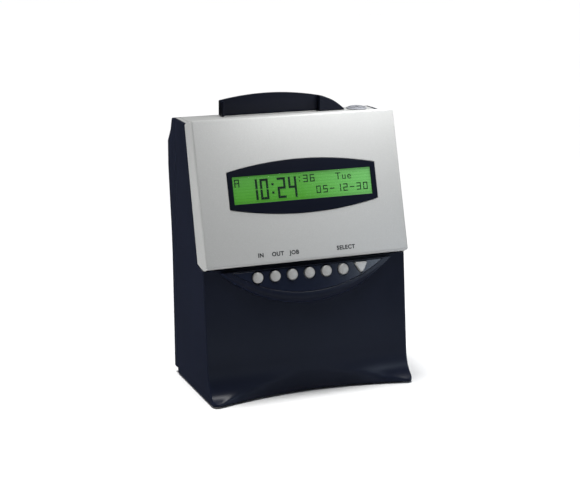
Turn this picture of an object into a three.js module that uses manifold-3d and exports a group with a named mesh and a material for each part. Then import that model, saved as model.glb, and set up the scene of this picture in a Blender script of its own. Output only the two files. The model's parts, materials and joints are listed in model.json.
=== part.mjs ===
// A desktop punch time clock: a dark moulded case, a silver cover that tilts
// forward, a display, seven sprung keys, and a card slot over a print mechanism.
//
// Millimetres. X runs to the user's right, Y to the back and Z up. The origin is
// on the table, under the centre of the machine's outline.
// Leaning parts are drawn in the face frame: X to the right, Y into the machine
// square to the cover's face, and Z up the face from the cover's bottom edge.

import * as THREE from 'three';
import { mergeVertices } from 'three/addons/utils/BufferGeometryUtils.js';
import Module from 'manifold-3d';

const wasm = await Module();
wasm.setup();

// ---- Driving dimensions -------------------------------------------------------

const halfWidth = 92;
const halfDepth = 58;
const footHeight = 1.5;
const wall = 2.5;
const gap = 0.3;
const sheet = 1.5;

// Side profile of the case, as [Y, Z].
const caseBack = 38;
const deckTop = 227.5;
const deckBack = 44;
const shoulder = [12.5, deckTop];
const ledgeBack = [-18, 113.5];
const ledgeFront = [-33, 111.5];
const coveTop = [-42.2, 32];
const coveBend = [-43.8, 8];
const lipTop = [-halfDepth, 3.8];
const scoopDepth = 13;
const lipCorner = 6;

// The cover's face: its bottom edge, its lean from the vertical and its length.
const faceFoot = new THREE.Vector3(0, -41.6, 115.9);
const faceLean = THREE.MathUtils.degToRad(17.27);
const faceLength = 122.8;
const coverPivot = [-31.8, 114.7];
const pinRadius = 2;

// Display, in the face frame.
const displayShift = 1.2;
const displayHeight = 62.2;
const bezelHalfWidth = 67;
const bezelSideHalf = 15.3;
const bezelCrownHalf = 22.7;
const windowHalf = [62.8, 11.4];

// Key pod, in the face frame.
const podFace = 4.8;
const podTop = -4.4;
const podHalfChord = 82;
const podCrest = 28;
const podBelly = 35.5;
const keyRow = -10.8;
const keyPitch = 15.5;
const keyRadius = 4.6;
const keyHole = 5.2;
const keyFlange = 5.5;
const keyFront = 2.3;
const arrowKeyX = 47.3;

// Card path.
const cardLeft = -49.5;
const cardRight = 38.5;
const slotFront = 31;
const slotBack = 36.8;
const hoodBack = 41;
const hoodLeft = -51.5;
const hoodRight = 63;
const cardFront = 33.6;
const printLine = 188;

// Print mechanism.
const mechLeft = -72;
const mechRight = 61.5;
const carriageHome = -6;
const rodRadius = 2.5;
const rodY = 12;
const rodHeights = { lower: 176, upper: 204 };
const beltHeight = 158;
const pulleyRadius = 6;
const pulleyLeft = -56;
const pulleyRight = 46;
const feedHeight = 133;
const feedY = 27;
const feedRadius = 6.4;
const pinchY = 40.3;
const gearModule = 1;
const feedTeeth = 28;
const pinionTeeth = 14;
const gearSpacing = (feedTeeth + pinionTeeth) * gearModule / 2 + 0.2;

const lock = { x: 75, y: 33.5, barrel: 6.4, bottom: 214.3, top: 229.7 };

// ---- Geometry helpers ---------------------------------------------------------

const shapeToYZ = new THREE.Matrix4().makeBasis(
  new THREE.Vector3(0, 1, 0), new THREE.Vector3(0, 0, 1), new THREE.Vector3(1, 0, 0));
const shapeToXZ = new THREE.Matrix4().makeBasis(
  new THREE.Vector3(1, 0, 0), new THREE.Vector3(0, 0, 1), new THREE.Vector3(0, -1, 0));

const polygon = (points) => new THREE.Shape(points.map(([a, b]) => new THREE.Vector2(a, b)));

const extrude = (shape, depth, curveSegments) =>
  new THREE.ExtrudeGeometry(shape, { depth, bevelEnabled: false, curveSegments });

// Extrusions of an outline drawn in the YZ, XZ or XY plane.
const alongX = (shape, x0, x1, segments = 8) =>
  extrude(shape, x1 - x0, segments).applyMatrix4(shapeToYZ).translate(x0, 0, 0);
const alongY = (shape, y0, y1, segments = 8) =>
  extrude(shape, y1 - y0, segments).applyMatrix4(shapeToXZ).translate(0, y1, 0);
const alongZ = (shape, z0, z1, segments = 8) =>
  extrude(shape, z1 - z0, segments).translate(0, 0, z0);

const block = (x0, x1, y0, y1, z0, z1) =>
  new THREE.BoxGeometry(x1 - x0, y1 - y0, z1 - z0)
    .translate((x0 + x1) / 2, (y0 + y1) / 2, (z0 + z1) / 2);

const rodX = (radius, x0, x1, y, z, sides = 20) =>
  new THREE.CylinderGeometry(radius, radius, x1 - x0, sides)
    .rotateZ(Math.PI / 2).translate((x0 + x1) / 2, y, z);
const rodYAxis = (radius, x, y0, y1, z, sides = 20) =>
  new THREE.CylinderGeometry(radius, radius, y1 - y0, sides).translate(x, (y0 + y1) / 2, z);
const rodZ = (radius, x, y, z0, z1, sides = 20) =>
  new THREE.CylinderGeometry(radius, radius, z1 - z0, sides)
    .rotateX(Math.PI / 2).translate(x, y, (z0 + z1) / 2);

// A turned piece: the profile is [radius, distance along Y].
const turned = (profile, sides = 16) =>
  new THREE.LatheGeometry(profile.map(([r, d]) => new THREE.Vector2(r, d)), sides);

const toSolid = (geometry) => {
  const bare = geometry.clone();
  bare.deleteAttribute('normal');
  bare.deleteAttribute('uv');
  const merged = mergeVertices(bare, 1e-4);
  return new wasm.Manifold(new wasm.Mesh({
    numProp: 3,
    vertProperties: new Float32Array(merged.attributes.position.array),
    triVerts: new Uint32Array(merged.index.array),
  }));
};

const toGeometry = (solid) => {
  const { vertProperties, triVerts } = solid.getMesh();
  const geometry = new THREE.BufferGeometry();
  geometry.setAttribute('position', new THREE.BufferAttribute(vertProperties, 3));
  geometry.setIndex(new THREE.BufferAttribute(triVerts, 1));
  return geometry;
};

const combine = (operation) => (first, ...rest) =>
  toGeometry(rest.reduce((solid, next) => solid[operation](toSolid(next)), toSolid(first)));
const join = combine('add');
const cut = combine('subtract');
const overlap = combine('intersect');

// The face frame: a group placed at the cover's bottom edge and leaned back.
const faceFrame = () => {
  const group = new THREE.Group();
  group.position.copy(faceFoot);
  group.rotation.x = -faceLean;
  group.updateMatrixWorld();
  return group;
};
const faceMatrix = faceFrame().matrixWorld;
const machineFromFace = (geometry) => geometry.applyMatrix4(faceMatrix);
const faceFromMachine = (geometry) => geometry.applyMatrix4(faceMatrix.clone().invert());
const facePoint = ([y, z]) => {
  const point = new THREE.Vector3(0, y, z).applyMatrix4(faceMatrix.clone().invert());
  return [point.y, point.z];
};

// ---- Materials ----------------------------------------------------------------

const finish = (color, roughness, metalness = 0) =>
  new THREE.MeshStandardMaterial({ color, roughness, metalness });
const navy = finish(0x232838, 0.35);
const silver = finish(0xc9cbca, 0.4, 0.4);
const keySilver = finish(0xd5d5d3, 0.3, 0.6);
const black = finish(0x15171c, 0.5);
const clear = finish(0xe8f0ee, 0.05);
const lcdGreen = finish(0x6fbf4a, 0.3);
const steel = finish(0xa8adb3, 0.35, 0.9);
const board = finish(0x1f6b3a, 0.6);
const rubber = finish(0x1b1b1d, 0.9);
const brass = finish(0xc2a14d, 0.35, 0.9);

const part = (name, geometry, material) => {
  const mesh = new THREE.Mesh(geometry, material);
  mesh.name = name;
  return mesh;
};

// ---- Key pod outlines ---------------------------------------------------------

// Points of a circular segment that hangs below z = top, as [X, Z]. The full
// segment has its chord at z = 0, so every outline of the pod shares its tips.
const segmentOutline = (halfChord, sagitta, top, steps = 24) => {
  const radius = (halfChord ** 2 + sagitta ** 2) / (2 * sagitta);
  const centre = radius - sagitta;
  const reach = Math.sqrt(radius ** 2 - (centre - top) ** 2);
  return Array.from({ length: steps + 1 }, (_, i) => {
    const angle = Math.asin(reach / radius) * (2 * i / steps - 1);
    return [radius * Math.sin(angle), centre - radius * Math.cos(angle)];
  });
};

const segmentPlate = (halfChord, sagitta, top, y0, y1) =>
  alongY(polygon(segmentOutline(halfChord, sagitta, top)), y0, y1);

// A solid through matching outlines, one for each depth in Y.
const loft = (rings) => {
  const count = rings[0].length;
  const positions = rings.flat(2);
  const faces = [];
  for (let ring = 0; ring < rings.length - 1; ring += 1) {
    for (let i = 0; i < count; i += 1) {
      const a = ring * count + i;
      const b = ring * count + (i + 1) % count;
      faces.push(a, a + count, b, b, a + count, b + count);
    }
  }
  const last = (rings.length - 1) * count;
  for (let i = 1; i < count - 1; i += 1) {
    faces.push(0, i, i + 1, last, last + i + 1, last + i);
  }
  const geometry = new THREE.BufferGeometry();
  geometry.setAttribute('position', new THREE.Float32BufferAttribute(positions, 3));
  geometry.setIndex(faces);
  return geometry;
};

// The pod swells from its crest line to its belly and then runs into the case.
const podBody = () => {
  const sections = [
    [podFace, podCrest],
    [podFace + 0.4, podCrest + 3.4],
    [podFace + 1.8, podBelly - 1.6],
    [podFace + 4.5, podBelly],
    [podFace + 18, podBelly],
  ];
  return loft(sections.map(([y, sagitta]) =>
    segmentOutline(podHalfChord, sagitta, podTop).map(([x, z]) => [x, y, z])));
};

// ---- Case ---------------------------------------------------------------------

const keyXs = Array.from({ length: 6 }, (_, i) => (i - 3) * keyPitch);

const caseProfile = () => {
  const shape = new THREE.Shape();
  shape.moveTo(caseBack, footHeight);
  shape.lineTo(caseBack, deckTop);
  shape.lineTo(...shoulder);
  shape.lineTo(...ledgeBack);
  shape.lineTo(...ledgeFront);
  shape.lineTo(...coveTop);
  shape.quadraticCurveTo(...coveBend, ...lipTop);
  shape.lineTo(lipTop[0], footHeight);
  return shape;
};

// The outline on the table: square at the back, with a shallow scoop between two
// rounded toes at the front.
const casePlan = () => {
  const toe = halfWidth - lipCorner;
  const shape = new THREE.Shape();
  shape.moveTo(-halfWidth, caseBack);
  shape.lineTo(-halfWidth, -halfDepth + lipCorner);
  shape.quadraticCurveTo(-halfWidth, -halfDepth, -toe, -halfDepth);
  shape.quadraticCurveTo(0, -halfDepth + 2 * scoopDepth, toe, -halfDepth);
  shape.quadraticCurveTo(halfWidth, -halfDepth, halfWidth, -halfDepth + lipCorner);
  shape.lineTo(halfWidth, caseBack);
  return shape;
};

// The case is open at the back, below, and above the ledge that the cover meets.
const caseHollow = () => {
  const ledgeEnd = ledgeFront[0] + 9;
  const ledgeUnder = ledgeFront[1] - wall;
  return alongX(polygon([
    [caseBack + 1, 0],
    [caseBack + 1, deckTop + wall],
    [ledgeEnd, deckTop + wall],
    [ledgeEnd, ledgeUnder],
    [ledgeFront[0] + wall, ledgeUnder],
    [coveTop[0] + wall, coveTop[1]],
    [coveTop[0] + wall - 0.6, 0],
  ]), -halfWidth + wall, halfWidth - wall);
};

// Ears that stand on the ledge and hold the cover's pins.
const pivotEar = (side) => {
  const [y, z] = coverPivot;
  const inner = halfWidth - wall - 5.5;
  const outer = halfWidth - wall - 2.7;
  const profile = polygon([
    [y + 4.6, ledgeFront[1] - 1],
    [y + 4.6, z + 3.8],
    [y - 3.8, z + 3.8],
    [y - 3.8, ledgeFront[1] + 0.5],
    [y - 0.1, ledgeFront[1] + 0.5],
    [y - 0.1, ledgeFront[1] - 1],
  ]);
  const [x0, x1] = side < 0 ? [-outer, -inner] : [inner, outer];
  return cut(alongX(profile, x0, x1), rodX(pinRadius + gap, x0 - 1, x1 + 1, y, z));
};

const mainCase = () => {
  const outside = overlap(
    alongX(caseProfile(), -halfWidth, halfWidth, 10),
    alongZ(casePlan(), 0, deckTop + 1, 16));
  const shell = cut(
    join(outside, machineFromFace(podBody())),
    caseHollow(),
    machineFromFace(segmentPlate(76, 26.6, podTop - 0.6, podFace - 1, podFace + 2.5)),
    machineFromFace(block(-60, 60, podFace + 2.3, podFace + 24, keyRow - 6.7, keyRow + 5.8)));
  return join(shell, pivotEar(-1), pivotEar(1));
};

const footSpots = [[-70, -28], [70, -28], [-70, 26], [70, 26]];

const basePlate = () => cut(
  block(-halfWidth + wall + gap, halfWidth - wall - gap, coveTop[0] + 2.7, deckBack,
    footHeight, footHeight + wall),
  ...footSpots.map(([x, y]) => rodZ(2.4, x, y, 0, 6, 12)));

// The foot's flange lies under the base and its stud goes up through it.
const foot = () => turned([
  [0, 0], [5.6, 0], [6.5, 0.8], [6.5, footHeight - gap], [2, footHeight - gap],
  [2, footHeight + wall + 0.6], [0, footHeight + wall + 0.6],
], 14).rotateX(Math.PI / 2);

// Back of the rear cover, from the bottom up: nearly upright, then swelling out
// round the card's guide, and stepping in again under the deck.
const rearBottom = 5;
const rearProfile = (inset, front) => {
  const shape = new THREE.Shape();
  shape.moveTo(front, rearBottom + inset);
  shape.lineTo(47 - inset, rearBottom + inset);
  shape.lineTo(48.5 - inset, 65);
  shape.bezierCurveTo(48.9 - inset, 120, 52.5 - inset, 140, halfDepth - inset, 184);
  shape.lineTo(halfDepth - inset, 206 - inset / 2);
  shape.lineTo(49.8 - inset, 217 - inset / 2);
  shape.lineTo(46.6 - inset, deckTop - 1.5 - inset);
  shape.lineTo(45.6 - inset, deckTop - inset);
  shape.lineTo(front, deckTop - inset);
  return shape;
};

const inlet = { x: 62, z: 24, halfWidth: 10, halfHeight: 7 };
const keyhole = { xs: [-50, 50], bottom: 186, top: 198, headRadius: 5, neckHalf: 2.5 };
const vent = { xs: Array.from({ length: 8 }, (_, i) => -63 + 18 * i), low: 84, high: 116 };

const rearCover = () => {
  const front = caseBack + gap;
  const shell = cut(
    alongX(rearProfile(0, front), -halfWidth, halfWidth, 8),
    alongX(rearProfile(wall, front - 1), -halfWidth + wall, halfWidth - wall, 8));
  const inletHole = block(inlet.x - inlet.halfWidth - gap, inlet.x + inlet.halfWidth + gap,
    40, 60, inlet.z - inlet.halfHeight - gap, inlet.z + inlet.halfHeight + gap);
  const keyholes = keyhole.xs.flatMap((x) => [
    rodYAxis(keyhole.headRadius, x, 50, 60, keyhole.bottom, 14),
    block(x - keyhole.neckHalf, x + keyhole.neckHalf, 50, 60, keyhole.bottom, keyhole.top),
  ]);
  const vents = vent.xs.map((x) => block(x - 1.5, x + 1.5, 40, 60, vent.low, vent.high));
  const deckNotch = block(-halfWidth + wall, halfWidth - wall, 30, deckBack + gap, 215, 240);
  return cut(shell, inletHole, deckNotch, ...keyholes, ...vents);
};

// ---- Keys ---------------------------------------------------------------------

// Outline of the arrow key, pointing down, as [X, Z] about the key's centre.
const arrowOutline = (grow) => {
  const half = 5.6 + grow;
  const top = 4.1 + grow;
  const tip = -4.3 - grow * 1.6;
  const shape = new THREE.Shape();
  shape.moveTo(-half + 1.6, top);
  shape.lineTo(half - 1.6, top);
  shape.quadraticCurveTo(half + 0.5, top, half - 0.7, top - 2);
  shape.lineTo(1.5, tip + 0.8);
  shape.quadraticCurveTo(0, tip - 0.6, -1.5, tip + 0.8);
  shape.lineTo(-half + 0.7, top - 2);
  shape.quadraticCurveTo(-half - 0.5, top, -half + 1.6, top);
  return shape;
};
const arrowSlab = (grow, y0, y1) =>
  alongY(arrowOutline(grow), y0, y1, 4).translate(arrowKeyX, 0, keyRow + 0.3);

const keyPlate = () => cut(
  segmentPlate(75.7, 26.3, podTop - 1, podFace, podFace + 2.1),
  ...keyXs.map((x) => rodYAxis(keyHole, x, 0, 12, keyRow, 24)),
  arrowSlab(0.6, 0, 12));

const flangeFront = podFace + 2.6;
const stemEnd = 11.2;

const roundKey = (x) => turned([
  [0, keyFront], [keyRadius - 1.2, keyFront + 0.1], [keyRadius, keyFront + 1.2],
  [keyRadius, flangeFront], [keyFlange, flangeFront], [keyFlange, flangeFront + 1.2],
  [1.8, flangeFront + 1.2], [1.8, stemEnd], [0, stemEnd],
], 20).translate(x, 0, keyRow);

const arrowKey = () => join(
  arrowSlab(0, keyFront + 0.7, flangeFront + 0.2),
  arrowSlab(-0.8, keyFront, flangeFront + 0.2),
  arrowSlab(0.9, flangeFront, flangeFront + 1.2),
  rodYAxis(1.8, arrowKeyX, flangeFront + 1, stemEnd, keyRow, 12));

const keyBoard = () => {
  const switches = [...keyXs, arrowKeyX].map((x) =>
    block(x - 3, x + 3, 12.95, 15.2, keyRow - 3, keyRow + 3));
  return join(block(-57, 57, 15, 16.6, keyRow - 6.2, keyRow + 5.3), ...switches);
};

// ---- Cover --------------------------------------------------------------------

const barrelOutline = (grow) => {
  const side = bezelHalfWidth + grow;
  const low = bezelSideHalf + grow;
  const crown = 2 * (bezelCrownHalf + grow) - low;
  const shape = new THREE.Shape();
  shape.moveTo(-side, -low);
  shape.quadraticCurveTo(0, -crown, side, -low);
  shape.lineTo(side, low);
  shape.quadraticCurveTo(0, crown, -side, low);
  return shape;
};

// The display sits slightly to the right of the cover's middle.
const displaySlab = (halfX, halfZ, y0, y1) => block(
  displayShift - halfX, displayShift + halfX, y0, y1, displayHeight - halfZ, displayHeight + halfZ);
const displayOutline = (grow, y0, y1) =>
  alongY(barrelOutline(grow), y0, y1, 20).translate(displayShift, 0, displayHeight);

// Arms of the cover run back over the case, beside the deck.
const armInner = halfWidth - wall - 4.2;
const armOuter = halfWidth - wall - gap;
const coverArms = () => [[-armOuter, -armInner], [armInner, armOuter]].map(([x0, x1]) =>
  faceFromMachine(block(x0, x1, 8, deckBack, deckTop - wall, deckTop)));

// The striker hangs under the right arm. The lock's cam turns in over its foot.
const lockStriker = () => {
  const [y0, y1] = [lock.y - 4, lock.y + 4];
  const bottom = lock.bottom - 5.3;
  return join(
    block(armOuter - 2.3, armOuter, y0, y1, bottom, deckTop - wall - gap),
    block(armInner, armOuter, y0, y1, bottom, bottom + 1.8));
};

const coverShell = () => {
  const [shoulderY] = facePoint(shoulder);
  const [backY, backZ] = facePoint(ledgeBack);
  const [frontY, frontZ] = facePoint(ledgeFront);
  const outside = alongX(polygon([
    [0, 0],
    [0, faceLength],
    [shoulderY - gap, faceLength],
    [backY - gap, backZ + 0.4],
    [frontY, frontZ + 0.4],
  ]), -halfWidth, halfWidth);
  const hollow = alongX(polygon([
    [wall, 2.2],
    [wall, faceLength - wall],
    [40, faceLength - wall],
    [40, -10],
    [5, -10],
    [5, 2.2],
  ]), -halfWidth + 2.3, halfWidth - 2.3);
  return join(cut(outside, hollow, displayOutline(gap, -2, wall + 2)), ...coverArms());
};

const displayBezel = () => cut(
  displayOutline(0, -0.5, 1.4),
  displaySlab(...windowHalf, -2, 4));

const displayWindow = () => displaySlab(windowHalf[0] - gap, windowHalf[1] - gap, -0.1, 1.2);

const coverPin = (side) => {
  const inner = halfWidth - wall - 6.5;
  const outer = halfWidth - 2.3 - gap;
  const [x0, x1] = side < 0 ? [-outer, -inner] : [inner, outer];
  return rodX(pinRadius, x0, x1, ...coverPivot, 16);
};

// ---- Display module, fixed to the case ------------------------------------------

const lcdGlass = () => displaySlab(64, 12.8, 1.8, 2.8);
const lcdFrame = () => join(
  displaySlab(65, 14.5, 3.1, 6),
  displaySlab(72, 19, 5.8, 7.4));
const displayBracket = () => {
  const reach = halfWidth - wall - 0.4;
  const [low, high] = [displayHeight - 26, displayHeight + 26];
  return join(
    block(-reach, reach, 9.3, 9.3 + sheet, low, high),
    block(-reach, -reach + sheet, 9.3, 30, low, high),
    block(reach - sheet, reach, 9.3, 30, low, high));
};

// ---- Deck, hood and lock --------------------------------------------------------

const cardDeck = () => {
  const reach = halfWidth - wall - 4.6;
  const rail = (x0, x1) => block(x0, x1, 14, 43.5, deckTop - 6.5, deckTop - wall + 0.2);
  return cut(
    join(block(-reach, reach, 13, deckBack, deckTop - wall, deckTop),
      rail(-reach, -reach + 2), rail(reach - 2, reach)),
    block(cardLeft, cardRight, slotFront, slotBack, 200, 240),
    rodZ(lock.barrel + gap, lock.x, lock.y, 200, 240));
};

// The hood's crown is a shallow arch over the card, and its right shoulder rolls
// down to the deck.
const cardHood = () => {
  const base = deckTop + gap;
  const eaves = 241.2;
  const shape = new THREE.Shape();
  shape.moveTo(hoodLeft, base);
  shape.lineTo(hoodLeft, eaves - 0.4);
  shape.quadraticCurveTo((hoodLeft + cardRight) / 2, eaves + 8.4, cardRight, eaves - 0.2);
  shape.bezierCurveTo(49.5, 239.4, 56.5, 233.8, hoodRight, base);
  return cut(
    alongY(shape, slotFront, hoodBack, 14),
    block(cardLeft, cardRight, slotFront - 1, slotBack, base - 1, 260));
};

const lockEscutcheon = () => turned([
  [lock.barrel + 0.4, 0], [9, 0], [9, 0.8], [8, 1.4], [lock.barrel + 0.4, 1.4],
  [lock.barrel + 0.4, 0],
], 24).rotateX(Math.PI / 2).translate(lock.x, lock.y, deckTop + gap);

const lockBarrel = () => cut(
  rodZ(lock.barrel, lock.x, lock.y, lock.bottom, lock.top, 24),
  block(lock.x - 0.9, lock.x + 0.9, lock.y - 4, lock.y + 4, lock.top - 5, lock.top + 1));

// The cam points to the back when unlocked and over the striker's foot when locked.
const lockCam = () => {
  const shape = new THREE.Shape();
  shape.absarc(lock.x, lock.y, 5, Math.PI, 2 * Math.PI, false);
  shape.lineTo(lock.x + 3, lock.y + 11.2);
  shape.lineTo(lock.x - 3, lock.y + 11.2);
  return alongZ(shape, lock.bottom - gap - 2, lock.bottom - gap, 10);
};

// ---- Card guide -----------------------------------------------------------------

const rollerSpans = [[-32, -20], [8, 20]];
const rollerWindows = (y0, y1) => rollerSpans.map(([x0, x1]) =>
  block(x0 - 1, x1 + 1, y0, y1, feedHeight - 7.5, feedHeight + 7.5));

// The front plate bends forward at its top to lead the card in.
const chuteFront = () => {
  const face = cardFront;
  const back = face - 1.2;
  return cut(
    alongX(polygon([
      [back, 20], [face, 20], [face, 212], [slotFront + 0.2, deckTop - wall - gap],
      [slotFront - 1, deckTop - wall - gap], [back, 211.6],
    ]), cardLeft - 0.5, cardRight + 0.5),
    block(-46, 35, back - 1, face + 1, printLine - 5, printLine + 5),
    ...rollerWindows(back - 1, face + 1));
};

const chuteBack = () => cut(
  block(cardLeft - 0.5, cardRight + 0.5, 36.6, 37.8, 20, deckTop - wall - gap),
  ...rollerWindows(36, 39));

const platen = () => block(-48, 37, 38.1, 44, printLine - 7, printLine + 7);

// ---- Print mechanism --------------------------------------------------------------

const pinionY = feedY - gearSpacing;

const mechPlate = (x0) => cut(
  block(x0, x0 + sheet, -2, 43.7, 122, deckTop - wall - gap),
  rodX(3, x0 - 1, x0 + 3, feedY, feedHeight),
  rodX(2.4, x0 - 1, x0 + 3, pinchY, feedHeight),
  rodX(3, x0 - 1, x0 + 3, pinionY, feedHeight));

const mechBase = () =>
  block(mechLeft + sheet + gap, mechRight - sheet - gap, -1, 31, 143, 143 + sheet);

const guideRod = (height) =>
  rodX(rodRadius, mechLeft + sheet + gap, mechRight - sheet - gap, rodY, height, 16);

const carriage = () => {
  const x = carriageHome;
  const body = join(
    block(x - 14, x + 14, 6, 18, 171, 209),
    block(x - 4, x + 4, 0, 8, beltHeight + pulleyRadius + 1.6, 174));
  const bore = (height) => rodX(rodRadius + gap, x - 20, x + 20, rodY, height, 16);
  return cut(body, bore(rodHeights.lower), bore(rodHeights.upper));
};

const printHead = () => {
  const x = carriageHome;
  const body = join(
    block(x - 10, x + 10, 18.3, 28, 177, 199),
    block(x - 5, x + 5, 27, 31.6, printLine - 4, printLine + 4));
  const fins = [0, 1, 2, 3].map((i) =>
    block(x - 11, x + 11, 24, 29, 194.2 + i * 1.6 - 0.5, 194.2 + i * 1.6 + 0.3));
  return cut(body, ...fins.slice(0, 3));
};

const beltLoop = (radius) => {
  const shape = new THREE.Shape();
  shape.absarc(pulleyRight, beltHeight, radius, -Math.PI / 2, Math.PI / 2, false);
  shape.absarc(pulleyLeft, beltHeight, radius, Math.PI / 2, 1.5 * Math.PI, false);
  return shape;
};
const driveBelt = () => cut(
  alongY(beltLoop(pulleyRadius + 1.3), 0.4, 3.6, 10),
  alongY(beltLoop(pulleyRadius + 0.3), 0, 4, 10));

// Each pulley has a flange at its front and an axle at its back.
const pulley = (x) => join(
  rodYAxis(pulleyRadius, x, 0.2, 3.8, beltHeight, 24),
  rodYAxis(pulleyRadius + 2, x, -1, 0.1, beltHeight, 24),
  rodYAxis(2, x, -1, 5.7, beltHeight, 12),
  rodYAxis(pulleyRadius - 1, x, -0.5, 0.5, beltHeight, 24));

const carriageMotor = () => rodYAxis(12, pulleyLeft, 6, 19, beltHeight, 28);

const gearOutline = (teeth, phase) => {
  const pitchRadius = teeth * gearModule / 2;
  const tip = pitchRadius + 0.9 * gearModule;
  const root = pitchRadius - 1.2 * gearModule;
  const step = 2 * Math.PI / teeth;
  const corners = [[-0.26, root], [-0.12, tip], [0.12, tip], [0.26, root]];
  return polygon(Array.from({ length: teeth }, (_, tooth) =>
    corners.map(([turn, radius]) => {
      const angle = (tooth + turn) * step + phase;
      return [radius * Math.cos(angle), radius * Math.sin(angle)];
    })).flat());
};
const gearSpan = [mechRight + 2.5, mechRight + 7.5];

const feedGear = () => cut(
  alongX(gearOutline(feedTeeth, 0), ...gearSpan).translate(0, feedY, feedHeight),
  rodX(2.8, 60, 80, feedY, feedHeight, 16));

// A tooth of the pinion faces a gap of the feed gear.
const motorPinion = () => join(
  alongX(gearOutline(pinionTeeth, Math.PI / pinionTeeth), ...gearSpan)
    .translate(0, pinionY, feedHeight),
  rodX(2.4, mechRight - sheet, gearSpan[1], pinionY, feedHeight, 12));

const feedMotor = () => rodX(9.3, 38, mechRight - sheet - gap, pinionY, feedHeight, 24);

const rollerShaft = (y, shaftRadius, rollerRadius, x0, x1) => join(
  rodX(shaftRadius, x0, x1, y, feedHeight, 16),
  ...rollerSpans.map(([a, b]) => rodX(rollerRadius, a, b, y, feedHeight, 24)));

const feedRoller = () => rollerShaft(feedY, 2.5, feedRadius, mechLeft - 1, gearSpan[1] + 1);
const pinchRoller = () => rollerShaft(pinchY, 2, feedRadius, mechLeft - 1, mechRight + 1);

const ribbonCartridge = () => join(
  block(-64, 54, 20.5, 31.6, 146, 170),
  block(-64, -56, 24, 31.6, 169, 194),
  block(46, 54, 24, 31.6, 169, 194));
const ribbonStrip = () => block(-64, 54, 31.9, 32.15, printLine - 4, printLine + 4);
const ribbonKnob = () => {
  const profile = [[0, 0], [4.6, 0], [4.6, 4.5], [3.8, 5.5], [0, 5.5]];
  return turned(profile, 16).rotateX(Math.PI / 2).translate(-60, 27.5, 194.3);
};

// ---- Electronics --------------------------------------------------------------------

const mainBoard = () => join(
  block(-80, 80, -27, -25.4, 12, 98),
  block(-52, -24, -25.5, -22.6, 40, 68),
  block(-8, 22, -25.5, -18, 74, 84));
const backupBattery = () => rodYAxis(10, 52, -25.1, -19.6, 70, 24);
const powerBoard = () => join(
  block(-72, 14, -14, 26, 9, 10.6),
  rodZ(7, -50, 6, 10.5, 32, 20),
  block(-30, -10, -6, 14, 10.5, 22));
const transformerCore = () => cut(
  block(32, 80, -14, 24, 4.3, 46),
  block(40, 48, -20, 30, 14, 38),
  block(64, 72, -20, 30, 14, 38));
const transformerWinding = () => cut(
  block(40.4, 71.6, -19, 29, 14.4, 37.6),
  block(47.7, 64.3, -14.3, 24.3, 10, 42));

const powerInlet = () => cut(
  block(inlet.x - inlet.halfWidth, inlet.x + inlet.halfWidth, 32, 48.2,
    inlet.z - inlet.halfHeight, inlet.z + inlet.halfHeight),
  block(inlet.x - 7, inlet.x + 7, 36, 60, inlet.z - 4.5, inlet.z + 4.5));

// ---- Assembly -----------------------------------------------------------------------

const machine = new THREE.Group();

const onFace = faceFrame();
onFace.add(
  part('key_plate', keyPlate(), navy),
  part('key_board', keyBoard(), board),
  ...keyXs.map((x, i) => part(`key_${i + 1}`, roundKey(x), keySilver)),
  part('key_7', arrowKey(), keySilver),
  part('cover_shell', coverShell(), silver),
  part('display_bezel', displayBezel(), navy),
  part('display_window', displayWindow(), clear),
  part('lcd_glass', lcdGlass(), lcdGreen),
  part('lcd_frame', lcdFrame(), steel),
  part('display_bracket', displayBracket(), steel));

const upright = new THREE.Group();
upright.add(
  part('main_case', mainCase(), navy),
  part('base_plate', basePlate(), navy),
  part('rear_cover', rearCover(), navy),
  part('cover_pin_left', coverPin(-1), steel),
  part('cover_pin_right', coverPin(1), steel),
  part('card_deck', cardDeck(), silver),
  part('card_hood', cardHood(), navy),
  part('lock_escutcheon', lockEscutcheon(), steel),
  part('lock_barrel', lockBarrel(), steel),
  part('lock_cam', lockCam(), steel),
  part('lock_striker', lockStriker(), steel),
  part('chute_front', chuteFront(), steel),
  part('chute_back', chuteBack(), steel),
  part('platen', platen(), rubber),
  part('mech_plate_left', mechPlate(mechLeft), steel),
  part('mech_plate_right', mechPlate(mechRight - sheet), steel),
  part('mech_base', mechBase(), steel),
  part('guide_rod_lower', guideRod(rodHeights.lower), steel),
  part('guide_rod_upper', guideRod(rodHeights.upper), steel),
  part('carriage', carriage(), black),
  part('print_head', printHead(), steel),
  part('drive_belt', driveBelt(), rubber),
  part('drive_pulley', pulley(pulleyLeft), brass),
  part('idler_pulley', pulley(pulleyRight), brass),
  part('carriage_motor', carriageMotor(), steel),
  part('feed_roller', feedRoller(), rubber),
  part('feed_gear', feedGear(), brass),
  part('motor_pinion', motorPinion(), brass),
  part('feed_motor', feedMotor(), steel),
  part('pinch_roller', pinchRoller(), rubber),
  part('ribbon_cartridge', ribbonCartridge(), black),
  part('ribbon_strip', ribbonStrip(), black),
  part('ribbon_knob', ribbonKnob(), black),
  part('main_board', mainBoard(), board),
  part('backup_battery', backupBattery(), steel),
  part('power_board', powerBoard(), board),
  part('transformer_core', transformerCore(), steel),
  part('transformer_winding', transformerWinding(), brass),
  part('power_inlet', powerInlet(), black));

const feet = new THREE.Group();
footSpots.forEach(([x, y], i) => {
  const mesh = part(`foot_${i + 1}`, foot(), rubber);
  mesh.position.set(x, y, 0);
  feet.add(mesh);
});

machine.add(onFace, upright, feet);

export default machine;
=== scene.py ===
"""Looks of a desktop punch time clock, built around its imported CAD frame.

Shapes are worked out in millimetres in the frame's own axes (X right, Y back, Z up) and made into
metres as each piece is finished. Leaning parts use face axes: X right, V into the machine square
to the cover's face, and U up the face from the cover's bottom edge.
"""

import json
import math

import bmesh
import bpy
from mathutils import Matrix, Vector

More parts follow.
